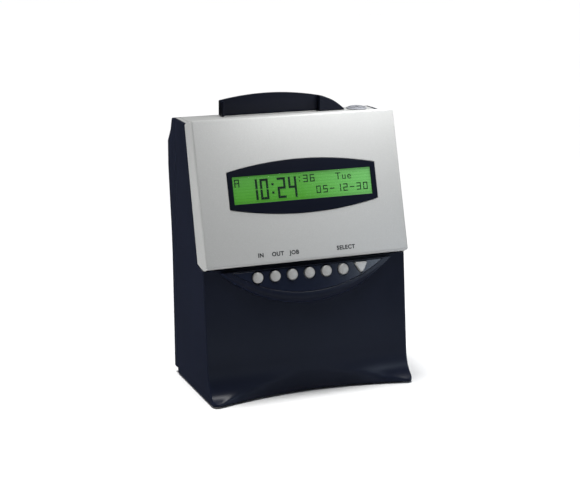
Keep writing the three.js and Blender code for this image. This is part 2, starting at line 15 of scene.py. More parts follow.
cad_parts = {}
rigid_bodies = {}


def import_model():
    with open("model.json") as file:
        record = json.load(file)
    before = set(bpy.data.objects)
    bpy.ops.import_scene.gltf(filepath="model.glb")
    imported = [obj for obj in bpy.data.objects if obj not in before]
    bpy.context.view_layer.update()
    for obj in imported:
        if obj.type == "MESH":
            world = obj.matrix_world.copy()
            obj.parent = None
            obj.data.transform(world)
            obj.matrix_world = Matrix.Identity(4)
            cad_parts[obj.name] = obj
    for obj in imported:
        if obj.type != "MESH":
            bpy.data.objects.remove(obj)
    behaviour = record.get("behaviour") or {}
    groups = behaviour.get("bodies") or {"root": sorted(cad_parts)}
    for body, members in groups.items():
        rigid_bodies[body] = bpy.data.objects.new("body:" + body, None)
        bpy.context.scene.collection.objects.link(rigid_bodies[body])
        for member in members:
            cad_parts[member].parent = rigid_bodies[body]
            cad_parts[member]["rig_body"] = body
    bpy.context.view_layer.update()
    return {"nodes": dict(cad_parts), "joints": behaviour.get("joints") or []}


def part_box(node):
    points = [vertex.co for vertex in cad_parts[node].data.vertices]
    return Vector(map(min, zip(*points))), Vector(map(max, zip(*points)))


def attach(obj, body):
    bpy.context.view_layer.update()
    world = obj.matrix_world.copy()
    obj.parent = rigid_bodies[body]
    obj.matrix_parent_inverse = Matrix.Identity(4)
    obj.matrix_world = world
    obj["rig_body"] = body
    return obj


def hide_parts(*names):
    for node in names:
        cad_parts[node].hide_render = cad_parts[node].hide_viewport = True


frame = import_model()

MM = 0.001


# ---- Driving dimensions, from the frame -----------------------------------------------------

def box_mm(node):
    """Lowest and highest corner of a CAD node, in millimetres."""
    low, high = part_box(node)
    return low / MM, high / MM


case_low, case_high = box_mm("main_case")
rear_low, rear_high = box_mm("rear_cover")
cover_low, cover_high = box_mm("cover_shell")
bezel_low, bezel_high = box_mm("display_bezel")
deck_low, deck_high = box_mm("card_deck")
hood_low, hood_high = box_mm("card_hood")

HALF_WIDTH = case_high.x
CASE_FRONT = case_low.y
CASE_BACK = case_high.y
CASE_BOTTOM = case_low.z
DECK_TOP = case_high.z
WALL = 2.5
GAP = 0.3

# The keys' inward axis gives the lean of the face.
key_axis = next(Vector(j["axis"]) for j in frame["joints"] if j["name"] == "key_1_press")
FACE_LEAN = math.atan2(-key_axis.z, key_axis.y)
FACE_LENGTH = 122.8
FACE_FOOT = Vector((0, cover_low.y, cover_high.z - FACE_LENGTH * math.cos(FACE_LEAN)))
FACE = Matrix.Translation(FACE_FOOT) @ Matrix.Rotation(-FACE_LEAN, 4, "X")

# Side profile of the case, as (Y, Z). The cove runs in one curve from the lip to its own top.
SHOULDER = (12.5, DECK_TOP)
LEDGE_BACK = (-18, 113.5)
LEDGE_FRONT = (-33, 111.5)
COVE_TOP = (-42.2, 32)
COVE_BEND = (-43.8, 8)
LIP_TOP = (CASE_FRONT, 3.8)

# The scoop cuts up into the lip between two rounded toes.
SCOOP_DEPTH = 13
SCOOP_REACH = 15
SCOOP_STEPS = 112
LIP_CORNER = 6
CORNER_STEPS = 14
SIDE_EDGE_ROUND = 1.2

# Back profile of the rear cover, as (Y, Z), from its foot to its top edge.
REAR_FOOT_Y = 47
REAR_WAIST = (48.5, 65)
REAR_BEND_LOW = (48.9, 120)
REAR_BEND_HIGH = (52.5, 140)
REAR_BULGE_LOW = (rear_high.y, 184)
REAR_BULGE_HIGH = (rear_high.y, 206)
REAR_SLOPE_END = (49.8, 217)
REAR_TOP_EDGE = (46.6, DECK_TOP - 1.5)
REAR_TOP_Y = 45.6

# Openings in the rear cover and the base.
REAR_CUT = (40, 60)
KEYHOLE_X = 50
KEYHOLE_Z = 186
KEYHOLE_RADIUS = 5
KEYHOLE_NECK_HALF = 2.5
KEYHOLE_TOP = 198
VENT_HALF = 1.5
REAR_VENT_Z = (85.5, 114.5)
REAR_VENT_REACH = 63
REAR_VENT_PITCH = 18
BASE_VENT_Y = (-20, 12)
BASE_VENT_REACH = 42
BASE_VENT_PITCH = 12

# Key pod, in face axes.
POD_FACE = 4.8
POD_TOP = -4.4
POD_HALF_CHORD = 82
POD_CREST = 28
POD_BELLY = 35.5
POD_SWELL = 5.2
SEAT_HALF_CHORD = 76
SEAT_SAGITTA = 26.6
RIM_ROUND = 0.6

# Cover: the rounding of its edges, and its walls where they are thinner than the rest.
COVER_ROUND = 1.9
COVER_SIDE_WALL = 2.3
COVER_FLOOR = 2.2

# Keys, in face axes.
ROUND_KEYS = [f"key_{i}" for i in range(1, 7)]
ARROW_KEY = "key_7"
KEY_ROW = -10.8
KEY_FRONT = 2.3
KEY_HOLE = 5.3
KEY_RADIUS = 4.5
KEY_EDGE_ROUND = 1.1
KEY_DOME = 0.7
KEY_FLANGE = POD_FACE + 2.6
KEY_FLANGE_RADIUS = 5.5
KEY_FLANGE_THICK = 1.2
KEY_STEM_RADIUS = 1.8
KEY_STEM_END = 11.2
KEY_PLATE_THICK = 2.1
ARROW_ROW = KEY_ROW + 0.3
ARROW_HALF = 5.6
ARROW_TOP = 4.1
ARROW_TIP = -4.3
ARROW_CLEARANCE = 0.6

# Display, in face axes. It sits slightly to the right of the cover's middle.
DISPLAY_X = (bezel_low.x + bezel_high.x) / 2
DISPLAY_U = 62.2
BEZEL_HALF = 67
BEZEL_SIDE_HALF = 15.3
BEZEL_CROWN_HALF = 22.7
WINDOW_HALF = (62.8, 11.4)
GLASS_FRONT = 1.8

# Print on the cover, and digits as (width, height, stroke).
INK_THICK = 0.06
LABEL_SIZE = 4.8
LABEL_U = 5.7
LABEL_WEIGHT = 0.15
TALL_DIGIT = (8, 18, 2.6)
SMALL_DIGIT = (4.4, 6.6, 1.15)
DIGIT_PITCH = 6.2

# The card's recess, and heights that the tools for holes in the deck run through.
SLOT_FRONT = 31
SLOT_BACK = 36.8
CARD_LEFT = -49.5
CARD_RIGHT = 38.5
DECK_CUT = (200, 240)

# Hood: the height where its arch starts, how far the arch bends up, and its right shoulder.
HOOD_EAVES = 241.2
HOOD_BEND = 8.4
HOOD_SHOULDER = ((49.5, 239.4), (56.5, 233.8))


# ---- Outlines --------------------------------------------------------------------------------

def quadratic(start, bend, end, steps):
    """Points after start of a quadratic curve."""
    points = []
    for i in range(1, steps + 1):
        t = i / steps
        points.append(tuple(
            (1 - t) ** 2 * a + 2 * t * (1 - t) * b + t * t * c
            for a, b, c in zip(start, bend, end)))
    return points


def cubic(start, bend_a, bend_b, end, steps):
    """Points after start of a cubic curve."""
    points = []
    for i in range(1, steps + 1):
        t = i / steps
        weights = ((1 - t) ** 3, 3 * t * (1 - t) ** 2, 3 * t * t * (1 - t), t ** 3)
        points.append(tuple(
            sum(w * p[k] for w, p in zip(weights, (start, bend_a, bend_b, end)))
            for k in range(2)))
    return points


def circle(radius, centre=(0, 0), steps=48):
    return [(centre[0] + radius * math.cos(2 * math.pi * i / steps),
             centre[1] + radius * math.sin(2 * math.pi * i / steps)) for i in range(steps)]


def rectangle(x0, x1, z0, z1):
    return [(x0, z0), (x1, z0), (x1, z1), (x0, z1)]


def segment(half_chord, sagitta, top, steps=72):
    """Circular segment that hangs below U = top. Its chord is at U = 0."""
    radius = (half_chord ** 2 + sagitta ** 2) / (2 * sagitta)
    centre = radius - sagitta
    reach = math.asin(math.sqrt(radius ** 2 - (centre - top) ** 2) / radius)
    angles = [reach * (2 * i / steps - 1) for i in range(steps + 1)]
    return [(radius * math.sin(a), centre - radius * math.cos(a)) for a in angles]


def barrel(grow, steps=48):
    """Outline of the display's surround, grown by a margin, about the display's centre."""
    side = BEZEL_HALF + grow
    low = BEZEL_SIDE_HALF + grow
    crown = 2 * (BEZEL_CROWN_HALF + grow) - low
    lower = [(-side, -low), *quadratic((-side, -low), (0, -crown), (side, -low), steps)]
    upper = [(side, low), *quadratic((side, low), (0, crown), (-side, low), steps)]
    return lower + upper


def display_outline(grow):
    """The surround's outline in place on the face."""
    return [(DISPLAY_X + x, DISPLAY_U + u) for x, u in barrel(grow)]


# ---- Solids ----------------------------------------------------------------------------------

def as_mesh(bm):
    """A mesh of the solid, with its faces turned outwards."""
    bmesh.ops.recalc_face_normals(bm, faces=bm.faces)
    mesh = bpy.data.meshes.new("solid")
    bm.to_mesh(mesh)
    bm.free()
    return mesh


def prism(outline, low, high, axis):
    """Sweeps an outline of (Y, Z), (X, Z) or (X, Y) points along the axis it leaves out."""
    def point(a, b, s):
        return {"X": (s, a, b), "Y": (a, s, b), "Z": (a, b, s)}[axis]
    bm = bmesh.new()
    rings = [[bm.verts.new(point(a, b, s)) for a, b in outline] for s in (low, high)]
    for ring in rings:
        bm.faces.new(ring)
    for i in range(len(outline)):
        j = (i + 1) % len(outline)
        bm.faces.new((rings[0][i], rings[0][j], rings[1][j], rings[1][i]))
    return as_mesh(bm)


def block(x0, x1, y0, y1, z0, z1):
    return prism(rectangle(x0, x1, z0, z1), y0, y1, "Y")


def loft(rings):
    """A solid through rings of equal numbers of points."""
    bm = bmesh.new()
    made = [[bm.verts.new(p) for p in ring] for ring in rings]
    for first, second in zip(made, made[1:]):
        for i in range(len(first)):
            j = (i + 1) % len(first)
            bm.faces.new((first[i], first[j], second[j], second[i]))
    bm.faces.new(made[0])
    bm.faces.new(made[-1])
    return as_mesh(bm)


def turned(profile, steps=64):
    """A solid turned about the Y axis. Its profile of (radius, Y) ends on the axis at each end."""
    bm = bmesh.new()
    rings = []
    for radius, y in profile:
        if radius < 1e-6:
            rings.append([bm.verts.new((0, y, 0))])
        else:
            rings.append([bm.verts.new((a, y, b)) for a, b in circle(radius, steps=steps)])
    for first, second in zip(rings, rings[1:]):
        for i in range(steps):
            j = (i + 1) % steps
            corners = [first[i % len(first)], first[j % len(first)],
                       second[j % len(second)], second[i % len(second)]]
            bm.faces.new(list(dict.fromkeys(corners)))
    return as_mesh(bm)


def moved(mesh, matrix):
    mesh.transform(matrix)
    return mesh


def on_face(mesh):
    return moved(mesh, FACE)


def lying(mesh, x, y, z):
    """Turns a solid made about the Y axis so that its axis stands upright at a place."""
    return moved(mesh, Matrix.Translation((x, y, z)) @ Matrix.Rotation(math.pi / 2, 4, "X"))


def shown(mesh, name="work"):
    """An object of the mesh, linked into the scene."""
    obj = bpy.data.objects.new(name, mesh)
    bpy.context.scene.collection.objects.link(obj)
    return obj


def shaped(mesh, *modifiers):
    """The mesh with modifiers, given as (type, settings), applied to it."""
    obj = shown(mesh)
    for kind, settings in modifiers:
        modifier = obj.modifiers.new(kind, kind)
        for key, value in settings.items():
            setattr(modifier, key, value)
    graph = bpy.context.evaluated_depsgraph_get()
    result = bpy.data.meshes.new_from_object(obj.evaluated_get(graph))
    bpy.data.objects.remove(obj)
    return result


def boolean(operation, mesh, tools):
    """The mesh after an exact boolean with each of the tools in turn."""
    helpers = [shown(tool) for tool in tools]
    result = shaped(mesh, *[
        ("BOOLEAN", {"object": helper, "operation": operation, "solver": "EXACT"})
        for helper in helpers])
    for helper in helpers:
        bpy.data.objects.remove(helper)
    return result


def cut(mesh, *tools):
    return boolean("DIFFERENCE", mesh, tools)


def joined(mesh, *tools):
    return boolean("UNION", mesh, tools)


def cleaned(mesh):
    """Merges coplanar faces and doubled points that booleans leave."""
    bm = bmesh.new()
    bm.from_mesh(mesh)
    bmesh.ops.remove_doubles(bm, verts=bm.verts, dist=0.005)
    bmesh.ops.dissolve_limit(bm, angle_limit=math.radians(0.5), verts=bm.verts, edges=bm.edges)
    return as_mesh(bm)


def rounded(mesh, width, segments=3, angle=35):
    return shaped(cleaned(mesh), ("BEVEL", {
        "width": width, "segments": segments, "limit_method": "ANGLE",
        "angle_limit": math.radians(angle), "use_clamp_overlap": False}))


def merged(meshes):
    bm = bmesh.new()
    for mesh in meshes:
        bm.from_mesh(mesh)
    result = bpy.data.meshes.new("solid")
    bm.to_mesh(result)
    bm.free()
    return result


def piece(name, mesh, material, body, nodes=()):
    """Finishes a solid as a piece of the object: metres, shading, material and body."""
    mesh.transform(Matrix.Scale(MM, 4))
    mesh.name = name
    mesh.materials.clear()
    mesh.materials.append(material)
    mesh.shade_smooth()
    mesh.set_sharp_from_angle(angle=math.radians(32))
    obj = shown(mesh, name)
    normals = obj.modifiers.new("normals", "WEIGHTED_NORMAL")
    normals.keep_sharp = True
    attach(obj, body)
    if nodes:
        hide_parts(*nodes)
    return obj


# ---- Materials -------------------------------------------------------------------------------

def linear(r, g, b):
    """Linear colour of an sRGB colour given in 0 to 255."""
    def channel(value):
        value /= 255
        return value / 12.92 if value <= 0.04045 else ((value + 0.055) / 1.055) ** 2.4
    return (channel(r), channel(g), channel(b), 1)


class Shader:
    """A node material with a Principled surface, built up step by step."""

    def __init__(self, name, **settings):
        self.material = bpy.data.materials.new(name)
        self.material.use_nodes = True
        self.nodes = self.material.node_tree.nodes
        self.links = self.material.node_tree.links
        self.surface = self.nodes["Principled BSDF"]
        for key, value in settings.items():
            self.surface.inputs[key.replace("_", " ")].default_value = value
        self.place = self.nodes.new("ShaderNodeTexCoord").outputs["Object"]

    def node(self, kind, inputs=(), **settings):
        made = self.nodes.new(kind)
        for key, value in settings.items():
            setattr(made, key, value)
        for key, value in dict(inputs).items():
            if isinstance(value, bpy.types.NodeSocket):
                self.links.new(value, made.inputs[key])
            else:
                made.inputs[key].default_value = value
        return made

    def stretched(self, scale):
        mapping = self.node("ShaderNodeMapping", {"Vector": self.place, "Scale": scale})
        return mapping.outputs["Vector"]

    def noise(self, scale, detail=3.0, place=None):
        return self.node("ShaderNodeTexNoise", {
            "Vector": place or self.place, "Scale": scale, "Detail": detail}).outputs["Fac"]

    def cells(self, scale):
        texture = self.node("ShaderNodeTexVoronoi", {"Vector": self.place, "Scale": scale})
        return texture.outputs["Distance"]

    def between(self, value, low, high, start=0.3, end=0.7):
        return self.node("ShaderNodeMapRange", {
            "Value": value, "From Min": start, "From Max": end, "To Min": low, "To Max": high,
        }).outputs["Result"]

    def blend(self, factor, first, second):
        mix = self.node("ShaderNodeMix", data_type="RGBA")
        self.links.new(factor, mix.inputs["Factor"])
        for socket, value in ((mix.inputs[6], first), (mix.inputs[7], second)):
            if isinstance(value, bpy.types.NodeSocket):
                self.links.new(value, socket)
            else:
                socket.default_value = value
        return mix.outputs[2]

    def color(self, output):
        self.links.new(output, self.surface.inputs["Base Color"])
        return self

    def roughness(self, output):
        self.links.new(output, self.surface.inputs["Roughness"])
        return self

    def bump(self, height, strength, distance):
        bump = self.node("ShaderNodeBump", {
            "Height": height, "Strength": strength, "Distance": distance})
        self.links.new(bump.outputs["Normal"], self.surface.inputs["Normal"])
        return self


def moulded_plastic(name, shade, light, rough, specular):
    """Moulded plastic with a fine spark texture and slow changes of tone."""
    shader = Shader(name, Specular_IOR_Level=specular)
    tone = shader.noise(14, 4)
    spark = shader.cells(1500)
    shader.color(shader.blend(shader.between(tone, 0, 1), shade, light))
    shader.roughness(shader.between(tone, rough - 0.02, rough + 0.03))
    return shader.bump(spark, 0.05, 0.00003).material


def satin_paint(name, shade, light, rough):
    """Silver paint: fine metallic flake under a satin skin."""
    shader = Shader(name, Metallic=0.15, Coat_Weight=0.15, Coat_Roughness=0.25)
    flake = shader.cells(2600)
    shader.color(shader.blend(shader.between(flake, 0, 1, 0.1, 0.9), shade, light))
    shader.roughness(shader.between(shader.noise(90, 4), rough - 0.03, rough + 0.04))
    return shader.bump(flake, 0.05, 0.00004).material


def brushed_metal(name, shade, light, rough, along=(1, 40, 40)):
    shader = Shader(name, Metallic=1.0)
    grain = shader.noise(55, 6, shader.stretched(along))
    shader.color(shader.blend(shader.between(grain, 0, 1), shade, light))
    shader.roughness(shader.between(grain, rough - 0.08, rough + 0.1))
    return shader.bump(grain, 0.08, 0.00005).material


def rubber_skin(name, shade, light):
    shader = Shader(name, Specular_IOR_Level=0.3)
    dust = shader.noise(220, 6)
    shader.color(shader.blend(shader.between(dust, 0, 1), shade, light))
    shader.roughness(shader.between(shader.noise(60), 0.75, 0.92))
    return shader.bump(dust, 0.3, 0.0001).material


def solder_mask(name):
    """Green board with paler copper tracks under the mask and small plated holes."""
    shader = Shader(name, Specular_IOR_Level=0.5)
    tracks = shader.node("ShaderNodeTexBrick", {
        "Vector": shader.place, "Scale": 60.0, "Mortar Size": 0.06,
        "Color1": linear(24, 92, 54), "Color2": linear(20, 78, 46),
        "Mortar": linear(70, 140, 92)}).outputs["Color"]
    holes = shader.between(shader.cells(260), 1, 0, 0.12, 0.16)
    shader.color(shader.blend(holes, tracks, linear(190, 186, 160)))
    shader.roughness(shader.between(shader.noise(150), 0.35, 0.5))
    return shader.bump(shader.cells(260), 0.1, 0.0001).material


def copper_winding(name):
    shader = Shader(name, Metallic=0.6)
    turns = shader.node("ShaderNodeTexWave", {
        "Vector": shader.place, "Scale": 160.0, "Distortion": 0.4}, bands_direction="Z",
    ).outputs["Fac"]
    shader.color(shader.blend(turns, linear(96, 44, 18), linear(196, 112, 52)))
    shader.roughness(shader.between(shader.noise(90), 0.3, 0.5))
    return shader.bump(turns, 0.5, 0.0003).material


def display_cell(name):
    """Back-lit green cell with a faint grid of pixels. It is brighter towards its upper right: a
    painted sheen of light falling on the window.
    """
    shader = Shader(name, Roughness=0.4, Specular_IOR_Level=0.2, Emission_Strength=0.55)
    low, high = box_mm("lcd_glass")
    sides = shader.node("ShaderNodeSeparateXYZ", {"Vector": shader.place}).outputs
    # Painted sheen: the green pales towards the cell's right and top, standing in for light on the
    # window. It tints both the colour and the backlight.
    across = shader.between(sides["X"], 0, 0.75, 0.0, high.x * MM)
    up = shader.between(sides["Z"], 0, 0.3, low.z * MM, high.z * MM)
    painted_sheen_amount = shader.node("ShaderNodeMath", {0: across, 1: up}, operation="ADD").outputs[0]
    backlight_and_painted_sheen = shader.blend(painted_sheen_amount, linear(70, 142, 40), linear(112, 182, 104))
    pixels = shader.node("ShaderNodeTexBrick", {
        "Vector": shader.place, "Scale": 330.0, "Mortar Size": 0.03, "Color1": (1, 1, 1, 1),
        "Color2": (1, 1, 1, 1), "Mortar": (0.8, 0.85, 0.8, 1)}, offset=0.0).outputs["Color"]
    tinted = shader.node("ShaderNodeMix", data_type="RGBA", blend_type="MULTIPLY")
    tinted.inputs["Factor"].default_value = 1
    shader.links.new(backlight_and_painted_sheen, tinted.inputs[6])
    shader.links.new(pixels, tinted.inputs[7])
    shader.color(tinted.outputs[2])
    shader.links.new(tinted.outputs[2], shader.surface.inputs["Emission Color"])
    return shader.material


def clear_plastic(name):
    shader = Shader(name, Base_Color=(0.02, 0.03, 0.03, 1), Alpha=0.1, Specular_IOR_Level=0.4)
    return shader.roughness(shader.between(shader.noise(40, 4), 0.03, 0.09)).material


def printed_ink(name, shade, light):
    shader = Shader(name, Specular_IOR_Level=0.3)
    shader.color(shader.blend(shader.between(shader.noise(900, 3), 0, 1), shade, light))
    return shader.roughness(shader.between(shader.noise(300), 0.5, 0.65)).material


NAVY = moulded_plastic("navy_plastic", linear(22, 27, 42), linear(26, 31, 48), 0.3, 0.38)
NAVY_PAD = moulded_plastic("navy_key_plate", linear(22, 28, 44), linear(27, 33, 51), 0.2, 0.6)
BLACK = moulded_plastic("black_plastic", linear(20, 21, 25), linear(28, 29, 33), 0.55, 0.3)
BEZEL = moulded_plastic("bezel_plastic", linear(12, 15, 25), linear(15, 19, 32), 0.34, 0.12)
SILVER = satin_paint("silver_paint", linear(177, 178, 177), linear(195, 196, 195), 0.42)
KEY_SILVER = satin_paint("key_paint", linear(164, 164, 163), linear(194, 194, 192), 0.25)
STEEL = brushed_metal("zinc_steel", linear(150, 154, 160), linear(190, 193, 198), 0.35)
LOCK_STEEL = satin_paint("lock_steel", linear(120, 122, 128), linear(160, 162, 168), 0.35)
BRASS = brushed_metal("brass", linear(180, 142, 66), linear(214, 178, 98), 0.3, (40, 1, 40))
RUBBER = rubber_skin("rubber", linear(24, 24, 26), linear(36, 36, 38))
BOARD = solder_mask("circuit_board")
COPPER = copper_winding("copper_winding")
CELL = display_cell("display_cell")
CLEAR = clear_plastic("clear_plastic")
INK = printed_ink("label_ink", linear(20, 22, 28), linear(30, 32, 38))
DARK_CELL = printed_ink("lcd_segments", linear(10, 34, 24), linear(16, 44, 30))


# ---- Case ------------------------------------------------------------------------------------

def soft_max(a, b, softness=0.6):
    return max(a, b) + softness * math.log1p(math.exp(-abs(a - b) / softness))


def base_front(x):
    """Y of the base's front edge at X: a shallow scoop between two rounded toes."""
    toe = HALF_WIDTH - LIP_CORNER
    if abs(x) <= toe:
        return CASE_FRONT + SCOOP_DEPTH * (1 - (x / toe) ** 2)
    return CASE_FRONT + LIP_CORNER * (1 - math.sqrt((HALF_WIDTH - abs(x)) / LIP_CORNER)) ** 2


def corner_drop(x):
    """How far the front draws back as it rounds into the sides."""
    radius = SIDE_EDGE_ROUND
    into = min(max(abs(x) - (HALF_WIDTH - radius), 0), radius)
    return radius - math.sqrt(radius ** 2 - into ** 2)


def scoop_lean(x):
    """How steeply the scoop's face leans back: hardly at the middle, most towards the toes."""
    out = (x / HALF_WIDTH) ** 4
    return 0.05 + 1.6 * out * (1 - out)


def case_section(z, front, inset=0):
    """Level section of the case, whose front is no further forward than the given Y."""
    toe = HALF_WIDTH - LIP_CORNER
    above = min(z - CASE_BOTTOM, SCOOP_REACH)
    corner = [HALF_WIDTH - LIP_CORNER * (i / CORNER_STEPS) ** 2 for i in range(CORNER_STEPS)]
    middle = [toe - 2 * toe * i / SCOOP_STEPS for i in range(SCOOP_STEPS + 1)]
    xs = [*corner, *middle, *[-x for x in reversed(corner)]]
    front_edge = [
        (x, soft_max(front, base_front(x) + inset + above * scoop_lean(x)) + corner_drop(x), z)
        for x in xs]
    return [(HALF_WIDTH, CASE_BACK, z), *front_edge, (-HALF_WIDTH, CASE_BACK, z)]


def case_outside():
    """The case widens forward in a cove to its lip. The scoop cuts across the cove's foot.

    Each section is (Z, front limit, inset). The lip's own sections have a limit well ahead, so
    the base's front edge alone shapes them.
    """
    ahead = CASE_FRONT - 12
    lip = [(CASE_BOTTOM, ahead, 0.7), (CASE_BOTTOM + 0.3, ahead, 0.2),
           (CASE_BOTTOM + 0.8, ahead, 0), (LIP_TOP[1] - 0.8, ahead, 0),
           (LIP_TOP[1] - 0.3, CASE_FRONT - 0.4, 0)]
    cove = [(z, y, 0) for y, z in quadratic(LIP_TOP, COVE_BEND, COVE_TOP, 36)]
    upper = [(z, y, 0) for y, z in (LEDGE_FRONT, LEDGE_BACK, SHOULDER)]
    return loft([case_section(z, front, inset) for z, front, inset in lip + cove + upper])


def pod_body(steps=12):
    """The pod swells from its crest to its belly, then draws in towards the case."""
    rise = POD_BELLY - POD_CREST
    sections = [(POD_FACE, POD_CREST)]
    for i in range(1, steps + 1):
        angle = math.pi / 2 * i / steps
        sections.append((
            POD_FACE + POD_SWELL * (1 - math.cos(angle)), POD_CREST + rise * math.sin(angle)))
    sections += [(POD_FACE + 8, POD_BELLY - 0.5), (POD_FACE + 18, POD_BELLY - 4)]
    return loft([
        [(x, v, u) for x, u in segment(POD_HALF_CHORD, sagitta, POD_TOP)]
        for v, sagitta in sections])


def pod_recess(steps=4):
    """The seat of the key plate. Its mouth flares so that the rim around it is rounded over."""
    mouth = [(POD_FACE - 1, SEAT_SAGITTA + RIM_ROUND)]
    for i in range(steps + 1):
        angle = math.pi / 2 * i / steps
        mouth.append((POD_FACE + RIM_ROUND * (1 - math.cos(angle)),
                      SEAT_SAGITTA + RIM_ROUND * (1 - math.sin(angle))))
    mouth.append((POD_FACE + 2.5, SEAT_SAGITTA))
    return loft([
        [(x, v, u) for x, u in segment(SEAT_HALF_CHORD, sagitta, POD_TOP - 0.6)]
        for v, sagitta in mouth])


def case_hollow():
    """The room inside the case, open at the back, at the bottom and above the ledge."""
    ledge_end = LEDGE_FRONT[0] + 9
    ledge_under = LEDGE_FRONT[1] - WALL
    outline = [
        (CASE_BACK + 1, 0), (CASE_BACK + 1, DECK_TOP + WALL), (ledge_end, DECK_TOP + WALL),
        (ledge_end, ledge_under), (LEDGE_FRONT[0] + WALL, ledge_under),
        (COVE_TOP[0] + WALL, COVE_TOP[1]), (COVE_TOP[0] + WALL - 0.6, 0)]
    return prism(outline, -HALF_WIDTH + WALL, HALF_WIDTH - WALL, "X")


def pivot_ear(side):
    """An ear on the ledge that holds one of the cover's pins."""
    low, high = box_mm("cover_pin_left")
    y, z = (low.y + high.y) / 2, (low.z + high.z) / 2
    ledge = LEDGE_FRONT[1]
    outline = [
        (y + 4.6, ledge - 1), (y + 4.6, z + 3.8), (y - 3.8, z + 3.8), (y - 3.8, ledge + 0.5),
        (y - 0.1, ledge + 0.5), (y - 0.1, ledge - 1)]
    spans = sorted((side * (HALF_WIDTH - WALL - 5.5), side * (HALF_WIDTH - WALL - 2.7)))
    hole = prism(circle(2.3, (y, z), 32), spans[0] - 1, spans[1] + 1, "X")
    return cut(prism(outline, *spans, "X"), hole)


def make_case():
    board_low, board_high = box_mm("key_board")
    switch_room = on_face(block(board_low.x - 3, board_high.x + 3, POD_FACE + 2.3, POD_FACE + 24,
                                KEY_ROW - 6.7, KEY_ROW + 5.8))
    outside = joined(case_outside(), on_face(pod_body()))
    shell = cut(outside, case_hollow(), on_face(pod_recess()), switch_room)
    shell = joined(shell, pivot_ear(-1), pivot_ear(1))
    return piece("case_shell", rounded(shell, 0.25, 2, 50), NAVY, "chassis",
                 ["main_case"])


def rear_outline(inset, front):
    """Side profile of the rear cover, drawn in from its outside by an inset."""
    def drawn_in(point, fall=0):
        return point[0] - inset, point[1] - fall
    bottom = rear_low.z + inset
    top = DECK_TOP - inset
    waist = drawn_in(REAR_WAIST)
    bulge = cubic(waist, drawn_in(REAR_BEND_LOW), drawn_in(REAR_BEND_HIGH),
                  drawn_in(REAR_BULGE_LOW), 24)
    return [
        (front, bottom), (REAR_FOOT_Y - inset, bottom), waist, *bulge,
        drawn_in(REAR_BULGE_HIGH, inset / 2), drawn_in(REAR_SLOPE_END, inset / 2),
        drawn_in(REAR_TOP_EDGE, inset), (REAR_TOP_Y - inset, top), (front, top)]


def keyhole(x):
    """Tools for a keyhole slot: a round hole with a narrower neck above it."""
    return [
        prism(circle(KEYHOLE_RADIUS, (x, KEYHOLE_Z), 32), 50, 60, "Y"),
        block(x - KEYHOLE_NECK_HALF, x + KEYHOLE_NECK_HALF, 50, 60, KEYHOLE_Z, KEYHOLE_TOP)]


def rear_vent(x):
    """Tool for an upright slot with round ends."""
    low, high = REAR_VENT_Z
    return prism([*circle(VENT_HALF, (x, low), 16)[8:], *circle(VENT_HALF, (x, high), 16)[:8]],
                 *REAR_CUT, "Y")


def row(reach, pitch):
    """Middles of a row of openings, from -reach to reach."""
    return range(-reach, reach + 1, pitch)


def make_rear_cover():
    front = rear_low.y
    outside = rounded(prism(rear_outline(0, front), -HALF_WIDTH, HALF_WIDTH, "X"), 1.0, 3, 12)
    inside = prism(rear_outline(WALL, front - 1), -HALF_WIDTH + WALL, HALF_WIDTH - WALL, "X")
    inlet_low, inlet_high = box_mm("power_inlet")
    inlet = block(inlet_low.x - GAP, inlet_high.x + GAP, *REAR_CUT,
                  inlet_low.z - GAP, inlet_high.z + GAP)
    notch = block(-HALF_WIDTH + WALL, HALF_WIDTH - WALL, 30, deck_high.y + GAP, 215, 240)
    vents = [rear_vent(x) for x in row(REAR_VENT_REACH, REAR_VENT_PITCH)]
    shell = cut(outside, inside, inlet, notch, *keyhole(-KEYHOLE_X), *keyhole(KEYHOLE_X), *vents)
    return piece("rear_shell", rounded(shell, 0.3, 2, 50), NAVY, "chassis",
                 ["rear_cover"])


def make_base():
    low, high = box_mm("base_plate")
    plate = block(low.x, high.x, low.y, high.y, low.z, high.z)
    vents = [block(x - VENT_HALF, x + VENT_HALF, *BASE_VENT_Y, low.z - 1, high.z + 1)
             for x in row(BASE_VENT_REACH, BASE_VENT_PITCH)]
    return piece("base_tray", rounded(cut(plate, *vents), 0.4, 2), NAVY, "chassis",
                 ["base_plate"])


# ---- Keys ------------------------------------------------------------------------------------

def face_coords(node):
    """Centre of a CAD node in face axes."""
    low, high = box_mm(node)
    return FACE.inverted() @ ((low + high) / 2)


def arrow_outline(grow, steps=8):
    """The arrow key points down. The outline is about its own centre."""
    half = ARROW_HALF + grow
    top = ARROW_TOP + grow
    tip = ARROW_TIP - grow * 1.6
    top_left, top_right = (-half + 1.6, top), (half - 1.6, top)
    side_left, side_right = (-half + 0.7, top - 2), (half - 0.7, top - 2)
    foot_left, foot_right = (-1.5, tip + 0.8), (1.5, tip + 0.8)
    return [
        top_left, top_right, *quadratic(top_right, (half + 0.5, top), side_right, steps),
        foot_right, *quadratic(foot_right, (0, tip - 0.6), foot_left, steps),
        side_left, *quadratic(side_left, (-half - 0.5, top), top_left, steps)[:-1]]


def arrow_at(grow):
    """The arrow key's outline in place on the face."""
    x = face_coords(ARROW_KEY).x
    return [(x + a, ARROW_ROW + b) for a, b in arrow_outline(grow)]


def make_key_plate():
    plate = prism(segment(SEAT_HALF_CHORD - GAP, SEAT_SAGITTA - GAP, POD_TOP - 1),
                  POD_FACE, POD_FACE + KEY_PLATE_THICK, "Y")
    holes = [
        prism(circle(KEY_HOLE, (face_coords(key).x, KEY_ROW)), 0, 12, "Y") for key in ROUND_KEYS]
    plate = cut(plate, *holes, prism(arrow_at(ARROW_CLEARANCE), 0, 12, "Y"))
    return piece("key_panel", on_face(rounded(plate, 0.3, 3)), NAVY_PAD, "chassis",
                 ["key_plate"])


